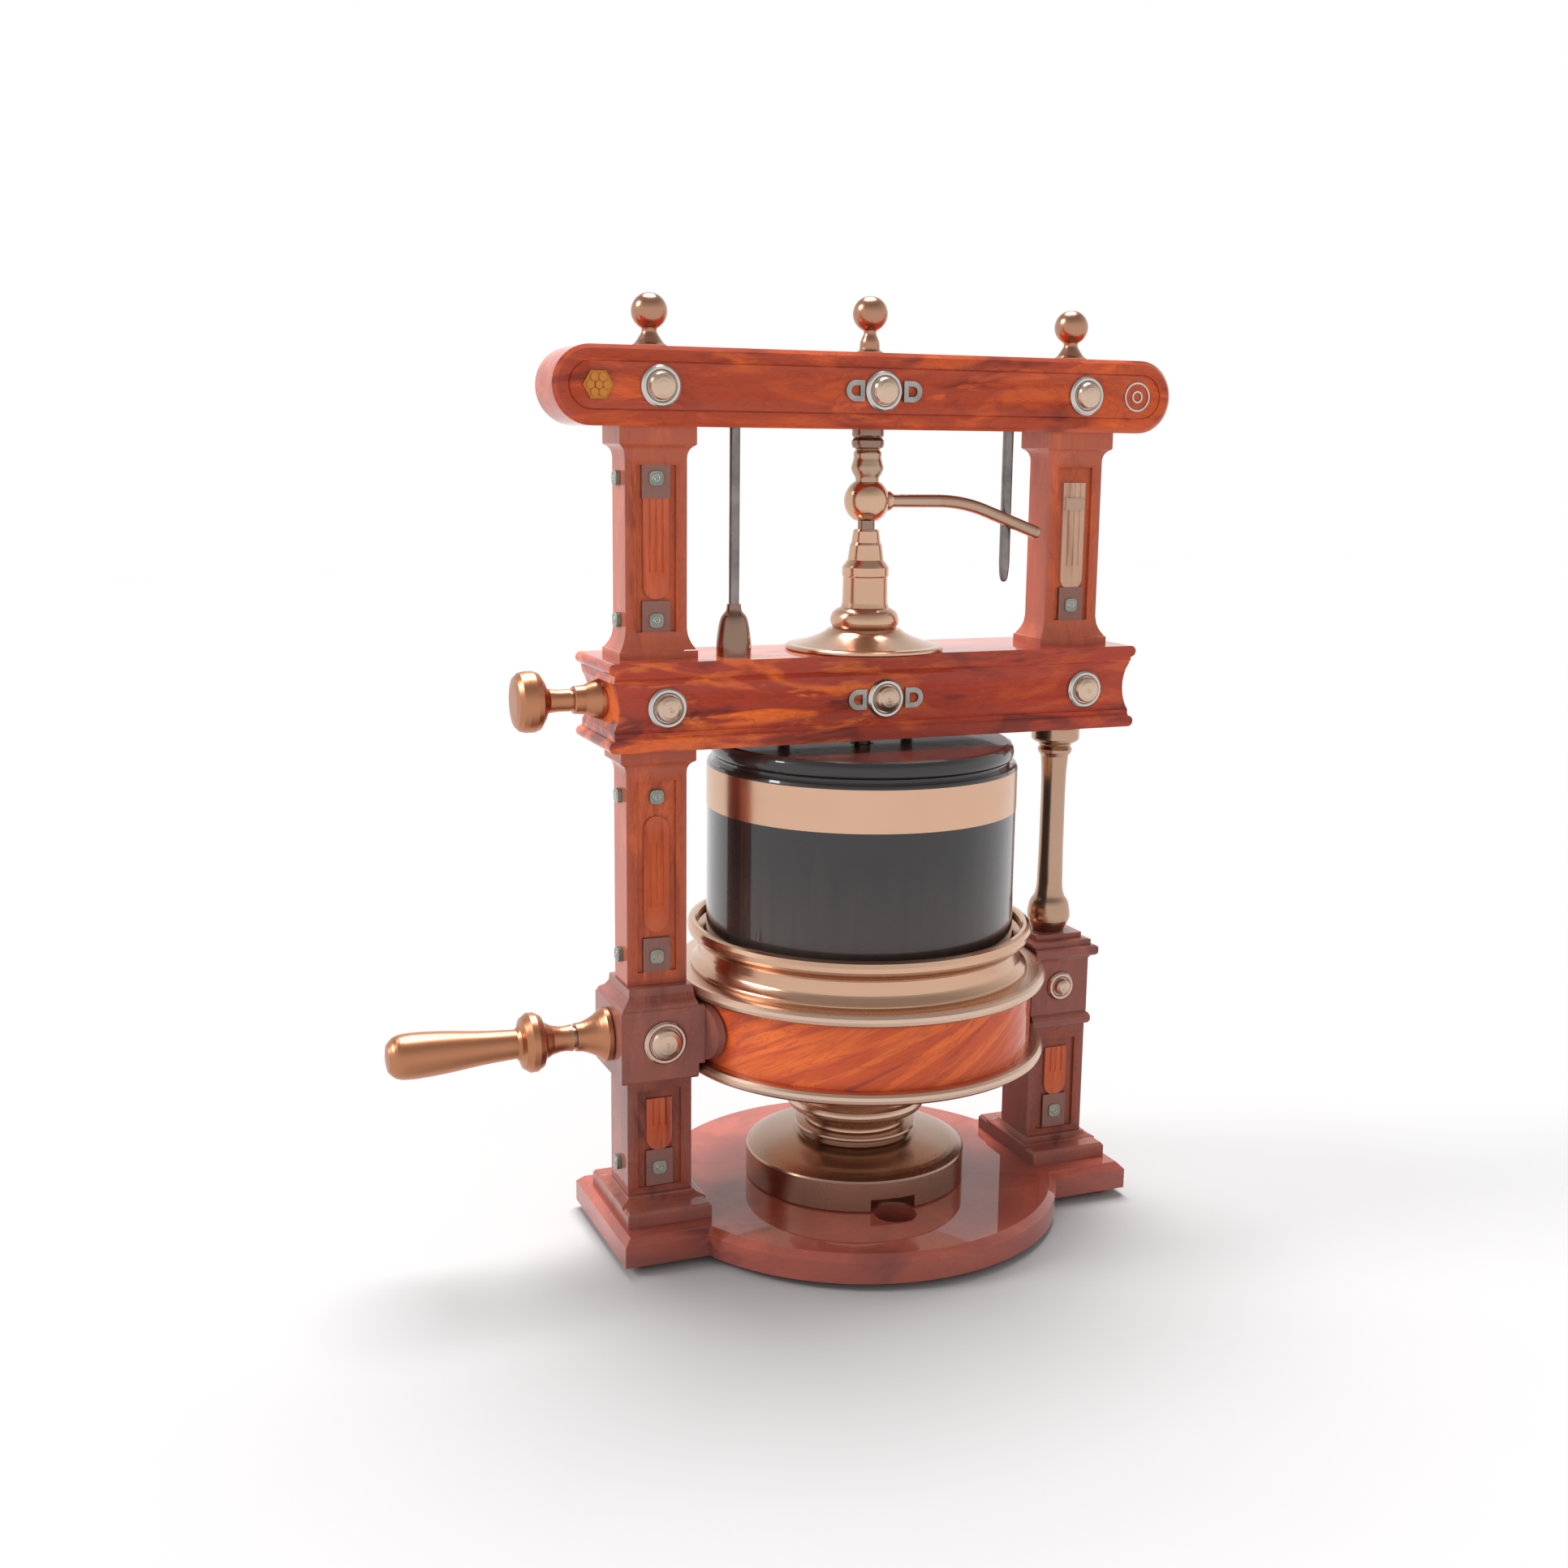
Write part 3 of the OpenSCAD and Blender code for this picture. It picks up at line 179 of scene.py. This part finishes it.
def lacquer(name, base, dark, flame, share=0.5, grain=(1, 1, 1), size=1.0, veins=0.35, gloss=0.05,
            ior=1.28, twist=0.0, right_share=1.0):
    """Figured wood under clear gloss: blotched flames, dark blotches, thin veins, pores, and paler sharp
    edges that are partly wear and partly painted highlight.

    twist winds the figure round the Z axis, in radians per metre of height. right_share is how much of the
    flame is left at the right-hand end of a beam.
    """
    s = Shader(name, Coat_Weight=1.0, Coat_Roughness=gloss, Coat_IOR=ior, Specular_IOR_Level=0.02)
    along = s.stretched(grain, place=s.twisted(twist) if twist else None)
    figure = s.noise(27 * size, 3, 0.55, along, 0.9)
    body = s.ramp(figure, (0.34, dark), (0.45, base), (0.55, base))
    if right_share < 1:
        fade_from, fade_to = -40 * MM, 50 * MM
        share = s.level(s.coordinate("X"), fade_from, fade_to, share, share * right_share)
    blotch = s.level(s.noise(19 * size, 2, 0.5, along, 1.6), 0.50, 0.62)
    body = s.mix(s.maths("MULTIPLY", blotch, share), body, flame)
    bright = tuple(min(1, 1.3 * c + 0.01) for c in flame)
    spark = s.level(s.noise(44 * size, 3, 0.6, along, 0.6), 0.56, 0.66, 0.0, 0.7)
    body = s.mix(s.maths("MULTIPLY", spark, share), body, bright)
    thread = s.maths("ABSOLUTE", s.maths("SUBTRACT", s.noise(34 * size, 4, 0.62, along, 1.8), 0.5))
    body = s.mix(s.level(thread, 0.0, 0.022, veins, 0.0), body, dark)
    pores = s.level(s.noise(520, 3, 0.6, along), 0.35, 0.6)
    body = s.mix(s.level(pores, 0.0, 1.0, 0.2, 0.0), body, dark)
    # paler on sharp edges: partly wear, partly painted highlight
    pale = tuple(min(1, 0.85 * c + 0.07) for c in base)
    body = s.mix(s.maths("MULTIPLY", s.edge(), 0.4), body, pale)
    s.colour(body)
    s.rough(s.level(s.noise(60, 4, 0.6, along), 0.3, 0.7, 0.3, 0.45))
    s.bump(s.maths("ADD", pores, s.maths("MULTIPLY", figure, 0.6)), 0.04, 0.0003)
    return s.material


def copper(name, light, dark, rough=0.12, wear=0.25):
    """Polished copper-coloured metal: faint lathe lines and tarnish, painted shade darkening the sharp inner
    corners, and a painted highlight lightening the sharp edges.
    """
    s = Shader(name, Metallic=1.0)
    tarnish = s.noise(14, 4, 0.5)
    fine = s.noise(260, 3, 0.6)
    dull = tuple(0.6 * a + 0.4 * b for a, b in zip(light, dark))
    body = s.mix(s.level(tarnish, 0.42, 0.72, 0.0, wear), light, dull)
    # painted shade: sharp inner corners darkened towards the dark colour
    body = s.mix(s.maths("MULTIPLY", s.crease(), 0.7), body, dark)
    # painted highlight: sharp edges lightened above the polished colour
    body = s.mix(s.maths("MULTIPLY", s.edge(), 0.25), body, tuple(min(1, 1.2 * c + 0.05) for c in light))
    s.colour(body)
    lines = s.noise(60, 2, 0.5, s.stretched((0.02, 0.02, 40)))
    dulled = s.level(tarnish, 0.35, 0.75, rough, rough + 0.07)
    s.rough(s.maths("ADD", dulled, s.maths("MULTIPLY", fine, 0.03)))
    s.bump(s.maths("ADD", lines, s.maths("MULTIPLY", fine, 0.3)), 0.015, 0.0002)
    return s.material


def enamel(name, base):
    """Gloss black enamel with a faint orange peel, dust-soft patches and thin worn edges."""
    s = Shader(name, Coat_Weight=1.0, Coat_Roughness=0.04, Coat_IOR=1.45, Specular_IOR_Level=0.25)
    patch = s.noise(9, 4, 0.6)
    body = s.mix(s.level(patch, 0.35, 0.7), base, tuple(1.5 * c for c in base))
    body = s.mix(s.maths("MULTIPLY", s.edge(0.54, 0.62), 0.4), body, (0.20, 0.12, 0.09))
    s.colour(body)
    s.rough(s.level(patch, 0.3, 0.7, 0.2, 0.34))
    s.bump(s.noise(180, 2, 0.4), 0.02, 0.0003)
    return s.material


def steel(name, light, dark, rough=0.32, metallic=1.0):
    """Drawn or machined steel with fine scratches and darker handling marks."""
    s = Shader(name, Metallic=metallic)
    marks = s.noise(40, 5, 0.65)
    scratch = s.noise(500, 2, 0.5, s.stretched((1, 1, 0.05)))
    body = s.mix(s.level(marks, 0.35, 0.7), light, dark)
    # painted shade: darker in sharp inner corners
    body = s.mix(s.maths("MULTIPLY", s.crease(), 0.6), body, tuple(0.4 * c for c in dark))
    s.colour(body)
    s.rough(s.level(marks, 0.3, 0.7, rough, rough + 0.16))
    s.bump(scratch, 0.08, 0.0002)
    return s.material


def rim_metal(name, silver, rose, change):
    """Bright turned metal: silver above the height change, rose-coloured below it."""
    s = Shader(name, Metallic=1.0)
    marks = s.noise(90, 4, 0.6)
    body = s.mix(s.level(s.coordinate("Z"), change, change + 2 * MM), rose, silver)
    body = s.mix(s.level(marks, 0.35, 0.7, 0.0, 0.3), body, tuple(0.5 * c for c in silver))
    # painted shade: much darker in sharp inner corners
    body = s.mix(s.maths("MULTIPLY", s.crease(), 0.7), body, tuple(0.25 * c for c in rose))
    s.colour(body)
    s.rough(s.level(marks, 0.3, 0.7, 0.16, 0.28))
    s.bump(s.noise(400, 2, 0.5), 0.05, 0.0002)
    return s.material


def make_materials():
    """Every material under its plain name: Blender adds a number to one that the frame uses too.

    A grain is the scale of the figure's noise along X, Y and Z.
    """
    upright = (1.3, 1.3, 0.3)
    fine_upright = (2, 2, 0.2)
    lengthwise = (0.34, 1, 1.3)
    copper_dark = (0.13, 0.05, 0.03)
    return {
        "red_lacquer": lacquer("red_lacquer", (0.43, 0.050, 0.011), (0.19, 0.015, 0.004),
                               (0.70, 0.105, 0.013), share=0.8, grain=lengthwise, size=1.4),
        "flame_lacquer": lacquer("flame_lacquer", (0.43, 0.034, 0.005), (0.11, 0.005, 0.001),
                                 (0.95, 0.165, 0.010),
                                 share=1.0, grain=lengthwise, size=1.7, right_share=0.25),
        "post_lacquer": lacquer("post_lacquer", (0.46, 0.090, 0.036), (0.23, 0.042, 0.019),
                                (0.60, 0.115, 0.036), share=0.7, grain=upright),
        "brown_lacquer": lacquer("brown_lacquer", (0.27, 0.075, 0.052), (0.13, 0.036, 0.026),
                                 (0.37, 0.085, 0.045), share=0.6, grain=(1, 1, 0.5)),
        "base_lacquer": lacquer("base_lacquer", (0.33, 0.055, 0.030), (0.15, 0.020, 0.012),
                                (0.46, 0.080, 0.032),
                                share=0.7, grain=(0.4, 0.5, 1), size=0.8, veins=0.25, gloss=0.02, ior=1.55),
        "burl_orange": lacquer("burl_orange", (0.62, 0.072, 0.005), (0.20, 0.014, 0.002),
                               (0.88, 0.160, 0.010),
                               share=1.0, grain=(1, 1, 0.5), size=1.3, veins=0.6, twist=17.0),
        "inlay_orange": lacquer("inlay_orange", (0.54, 0.09, 0.026), (0.26, 0.032, 0.010),
                                (0.68, 0.125, 0.030), share=0.7, grain=fine_upright, veins=0.2),
        "pale_wood": lacquer("pale_wood", (0.60, 0.36, 0.24), (0.34, 0.17, 0.105), (0.68, 0.43, 0.29),
                             share=0.4, grain=fine_upright, veins=0.2),
        "umber_field": lacquer("umber_field", (0.25, 0.105, 0.080), (0.17, 0.07, 0.055), (0.31, 0.115, 0.080),
                               share=0.5, grain=upright),
        "copper": copper("copper", (0.62, 0.39, 0.265), copper_dark, rough=0.15),
        "copper_pale": copper("copper_pale", (0.66, 0.47, 0.36), (0.20, 0.10, 0.07), rough=0.24),
        "copper_mid": copper("copper_mid", (0.47, 0.30, 0.21), (0.15, 0.07, 0.04), rough=0.17),
        "copper_dim": copper("copper_dim", (0.42, 0.275, 0.20), copper_dark, rough=0.22),
        "copper_ball": copper("copper_ball", (0.45, 0.235, 0.15), copper_dark, rough=0.2, wear=0.15),
        "copper_satin": copper("copper_satin", (0.47, 0.205, 0.108),
                               (0.16, 0.05, 0.025), rough=0.28, wear=0.15),
        "dome_metal": copper("dome_metal", (0.62, 0.455, 0.345), (0.18, 0.10, 0.06), rough=0.25),
        "black_gloss": enamel("black_gloss", (0.014, 0.012, 0.012)),
        "steel": steel("steel", (0.27, 0.245, 0.235), (0.14, 0.125, 0.12), rough=0.22),
        "silver_trim": rim_metal("silver_trim", (0.60, 0.57, 0.54), (0.60, 0.44, 0.36), change=270 * MM),
        "dull_silver": steel("dull_silver", (0.42, 0.40, 0.38), (0.24, 0.225, 0.21), rough=0.3),
        "stud_silver": steel("stud_silver", (0.36, 0.39, 0.33), (0.24, 0.27, 0.22), rough=0.3, metallic=0.25),
        "amber_gold": copper("amber_gold", (0.52, 0.20, 0.045), (0.25, 0.08, 0.015), rough=0.32),
        "iron": steel("iron", (0.10, 0.10, 0.10), (0.05, 0.05, 0.05), rough=0.45),
        "bronze": copper("bronze", (0.45, 0.31, 0.22), (0.12, 0.06, 0.03), rough=0.16),
        "bronze_dark": copper("bronze_dark", (0.28, 0.18, 0.135), (0.07, 0.04, 0.03), rough=0.18),
    }


# Nodes whose look is finer than their slot in the record.
LOOKS = {
    "base_plate": "base_lacquer",
    "mid_beam": "flame_lacquer",
    "post_inlays": "inlay_orange",
    "pedestal_disc": "copper_dim",
    "bolt_domes": "dome_metal",
    "right_pillar": "copper_mid",
    "lever": "bronze",
    "key_plates": "dull_silver",
    "spindle_head": "bronze",
    **dict.fromkeys(("rod_socket", "spindle_screw", "clamp_screw", "top_bush"), "bronze_dark"),
    **dict.fromkeys(("left_middle_shaft", "upper_left_post", "upper_right_post", "upper_capitals",
                     "left_capital"), "post_lacquer"),
    **dict.fromkeys(("left_lower_shaft", "right_lower_shaft"), "brown_lacquer"),
    **dict.fromkeys(("upper_flange", "lower_flange", "pedestal_cup", "bed_hub"), "copper_pale"),
    **dict.fromkeys(("side_finials", "centre_finial"), "copper_ball"),
}


def paint_nodes(looks):
    """Gives every CAD node the material of its slot in the record, and rounds its sharp edges."""
    slots = {row["node"]: row["material_slot"] for row in frame["record"]["subparts"]}
    for name, node in nodes.items():
        node.data.materials.clear()
        node.data.materials.append(looks[LOOKS.get(name, slots[name])])
        soft = node.modifiers.new("worn edges", "BEVEL")
        soft.width = 0.6 * MM
        soft.segments = 2
        soft.limit_method = "ANGLE"
        soft.angle_limit = math.radians(35)


# ---------------------------------------------------------------- detail pieces

def islands(name):
    """Lowest and highest corner of every separate solid of a CAD node."""
    form = bmesh.new()
    form.from_mesh(nodes[name].data)
    form.transform(nodes[name].matrix_world)
    left = set(form.verts)
    boxes = []
    while left:
        grown = [left.pop()]
        for vert in grown:
            for edge in vert.link_edges:
                other = edge.other_vert(vert)
                if other in left:
                    left.remove(other)
                    grown.append(other)
        boxes.append((Vector(min(v.co[i] for v in grown) for i in range(3)),
                      Vector(max(v.co[i] for v in grown) for i in range(3))))
    form.free()
    return sorted(boxes, key=lambda box: tuple(box[0]))


def facing(origin, normal):
    """Frame at origin with Z along a level normal and Y up."""
    across = Vector((0, 0, 1)).cross(normal)
    return Matrix.Translation(origin) @ Matrix((across, (0, 0, 1), normal)).transposed().to_4x4()


def skin(form, place, rings):
    """Closed skin over rings of points, each ring the same length, from the first to the last."""
    made = [[form.verts.new(place @ Vector(point)) for point in ring] for ring in rings]
    count = len(made[0])
    for low, high in zip(made, made[1:]):
        for i in range(count):
            j = (i + 1) % count
            form.faces.new((low[i], low[j], high[j], high[i]))
    form.faces.new(made[0][::-1])
    form.faces.new(made[-1])


def tube(form, place, path, radius):
    """Round wire along a path of points, thinner at its ends."""
    rings = []
    for i, point in enumerate(path):
        way = (Vector(path[min(i + 1, len(path) - 1)]) - Vector(path[max(i - 1, 0)])).normalized()
        side = way.cross(Vector((0, 0, 1))).normalized()
        over = side.cross(way)
        from_end = min(i, len(path) - 1 - i)
        thick = radius * min(1, 0.35 + 0.3 * from_end)
        rings.append([Vector(point) + (side * math.cos(a) + over * math.sin(a)) * thick
                      for a in (k * math.tau / 8 for k in range(8))])
    skin(form, place, rings)


def rounded_square(half, z, points=40):
    """Ring of points between a square and a circle."""
    ring = []
    for k in range(points):
        c, s = math.cos(k * math.tau / points), math.sin(k * math.tau / points)
        ring.append((half * math.copysign(abs(c) ** 0.6, c), half * math.copysign(abs(s) ** 0.6, s), z))
    return ring


def scroll(inner, outer, turns, height, mirror=1):
    """Spiral path that winds outwards; height gives Z from the radius."""
    steps = int(turns * 20)
    path = []
    for k in range(steps + 1):
        radius = inner + (outer - inner) * k / steps
        angle = turns * math.tau * k / steps
        path.append((radius * math.cos(angle), mirror * radius * math.sin(angle), height(radius)))
    return path


def block(form, place, low, high):
    """Box from low to high, in the frame place."""
    rings = [[(low[0], low[1], z), (high[0], low[1], z), (high[0], high[1], z), (low[0], high[1], z)]
             for z in (low[2], high[2])]
    skin(form, place, rings)


def piece(name, form, material, smooth=True):
    """Finished piece, riding on the frame of the press."""
    mesh = bpy.data.meshes.new(name)
    bmesh.ops.recalc_face_normals(form, faces=form.faces)
    for face in form.faces:
        face.smooth = smooth
    form.to_mesh(mesh)
    form.free()
    mesh.materials.append(looks[material])
    made = bpy.data.objects.new(name, mesh)
    bpy.context.scene.collection.objects.link(made)
    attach(made, "frame")
    return made


def stud_frames():
    """Frame on the wood under each stud, looking outwards, and whether it is in a panel."""
    for low, high in islands("post_studs"):
        middle = (low + high) / 2
        if high.x - low.x < high.y - low.y:
            out = math.copysign(1, middle.x)
            wood = low.x if out > 0 else high.x
            yield facing(Vector((wood, middle.y, middle.z)), Vector((out, 0, 0))), False
        else:
            out = math.copysign(1, middle.y)
            wood = low.y if out > 0 else high.y
            yield facing(Vector((middle.x, wood, middle.z)), Vector((0, out, 0))), True


def make_studs():
    """Pale tiles with a small raised scroll in a shallow dish, in place of the plain studs."""
    tiles, scrolls = bmesh.new(), bmesh.new()
    profile = ((4.5, 0), (4.5, 1.0), (4.2, 1.4), (3.5, 1.45), (3.3, 1.2), (1, 1.2))
    for place, _ in stud_frames():
        skin(tiles, place, [rounded_square(half * MM, z * MM) for half, z in profile])
        path = scroll(0.5 * MM, 2.7 * MM, turns=1.6, height=lambda _: 1.25 * MM)
        tube(scrolls, place, path, 0.42 * MM)
    tile = piece("stud_tiles", tiles, "stud_silver", smooth=False)
    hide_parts("post_studs")
    piece("stud_scrolls", scrolls, "silver_trim")


def make_fields():
    """Dark veneer let into the panels round the studs; the wood of the middle panel's top stays plain."""
    form = bmesh.new()
    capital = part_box("left_capital")[0][2]
    half_w, half_h, sunk, proud = 9 * MM, 12 * MM, -0.2 * MM, 0.15 * MM
    near_capital = 30 * MM
    for place, panel in stud_frames():
        if panel and not 0 < capital - place.translation.z < near_capital:
            block(form, place, (-half_w, -half_h, sunk), (half_w, half_h, proud))
    piece("stud_fields", form, "umber_field", smooth=False)


def make_scrolls():
    """Low scrolls worked into the domed bolt heads of the middle beam and the blocks."""
    form = bmesh.new()
    top_beam_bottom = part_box("top_beam")[0][2]
    flat_share = 0.3      # of the dome's radius, before it falls away
    fall = 2.1 * MM       # over one radius, beyond the flat
    for low, high in islands("bolt_domes"):
        if high.z > top_beam_bottom:
            continue
        radius = (high.z - low.z) / 2
        place = facing(Vector(((low.x + high.x) / 2, low.y, (low.z + high.z) / 2)), Vector((0, -1, 0)))

        def rise(r, radius=radius):
            return -0.15 * MM - fall * max(0, r / radius - flat_share)

        inner = scroll(0.08 * radius, 0.62 * radius, turns=1.7, height=rise)
        outer = scroll(0.55 * radius, 0.72 * radius, turns=0.9, height=rise, mirror=-1)
        tube(form, place, inner, 0.5 * MM)
        tube(form, place, outer, 0.45 * MM)
    piece("bolt_scrolls", form, "dome_metal")


def make_catch():
    """Small catch with a lip above and below, across the top of the pale inlay."""
    low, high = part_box("pale_inlay")
    below_top = 14 * MM
    half_w, half_h, lip_w, lip_h = 6.5 * MM, 3.2 * MM, 7.6 * MM, 0.8 * MM
    sunk, plate_top, lip_top, overlap = -0.3 * MM, 0.5 * MM, 0.9 * MM, 0.1 * MM
    form = bmesh.new()
    for out in (-1, 1):
        face = high[1] if out > 0 else low[1]
        place = facing(Vector(((low[0] + high[0]) / 2, face, high[2] - below_top)), Vector((0, out, 0)))
        block(form, place, (-half_w, -half_h, sunk), (half_w, half_h, plate_top))
        for edge in (overlap - half_h - lip_h, half_h - overlap):
            block(form, place, (-lip_w, edge, sunk), (lip_w, edge + lip_h, lip_top))
    piece("inlay_catch", form, "copper_dim", smooth=False)


# ---------------------------------------------------------------- floor and light

def make_floor():
    """Even, pale grey floor that is part of the stage."""
    mesh = bpy.data.meshes.new("floor")
    form = bmesh.new()
    bmesh.ops.create_grid(form, x_segments=1, y_segments=1, size=6)
    form.to_mesh(mesh)
    form.free()
    floor = bpy.data.objects.new("floor", mesh)
    bpy.context.scene.collection.objects.link(floor)
    s = Shader("floor", Roughness=0.9, Specular_IOR_Level=0.1)
    s.colour(s.mix(s.level(s.noise(3), 0.3, 0.7), (0.455, 0.450, 0.452), (0.465, 0.460, 0.462)))
    mesh.materials.append(s.material)


def sun(name, azimuth, elevation, strength, spread):
    """Soft light from far away; azimuth 0 shines from -Y, 90 from +X."""
    light = bpy.data.lights.new(name, "SUN")
    light.energy = strength
    light.angle = math.radians(spread)
    lamp = bpy.data.objects.new(name, light)
    turn, rise = math.radians(azimuth), math.radians(elevation)
    away = Vector((math.sin(turn) * math.cos(rise), -math.cos(turn) * math.cos(rise), math.sin(rise)))
    lamp.rotation_euler = away.to_track_quat("Z", "Y").to_euler()
    bpy.context.scene.collection.objects.link(lamp)


def make_lights():
    """A low key light from the left, a broad one overhead, and a sky that is white low down, dimmer above."""
    sun("key", azimuth=-105, elevation=34, strength=1.5, spread=20)
    sun("top", azimuth=160, elevation=67, strength=4.7, spread=36)
    world = bpy.data.worlds.new("studio")
    world.use_nodes = True
    tree = world.node_tree
    place = tree.nodes.new("ShaderNodeSeparateXYZ")
    tree.links.new(tree.nodes.new("ShaderNodeTexCoord").outputs["Generated"], place.inputs[0])
    fade = tree.nodes.new("ShaderNodeMapRange")
    tree.links.new(place.outputs["Z"], fade.inputs["Value"])
    for key, value in zip(("From Min", "From Max", "To Min", "To Max"), (0.25, 0.8, 1.0, 0.4)):
        fade.inputs[key].default_value = value
    tree.links.new(fade.outputs[0], tree.nodes["Background"].inputs[0])
    bpy.context.scene.world = world


bpy.context.scene.view_settings.view_transform = "Standard"
make_camera()
looks = make_materials()
paint_nodes(looks)
make_studs()
make_fields()
make_scrolls()
make_catch()
make_floor()
make_lights()
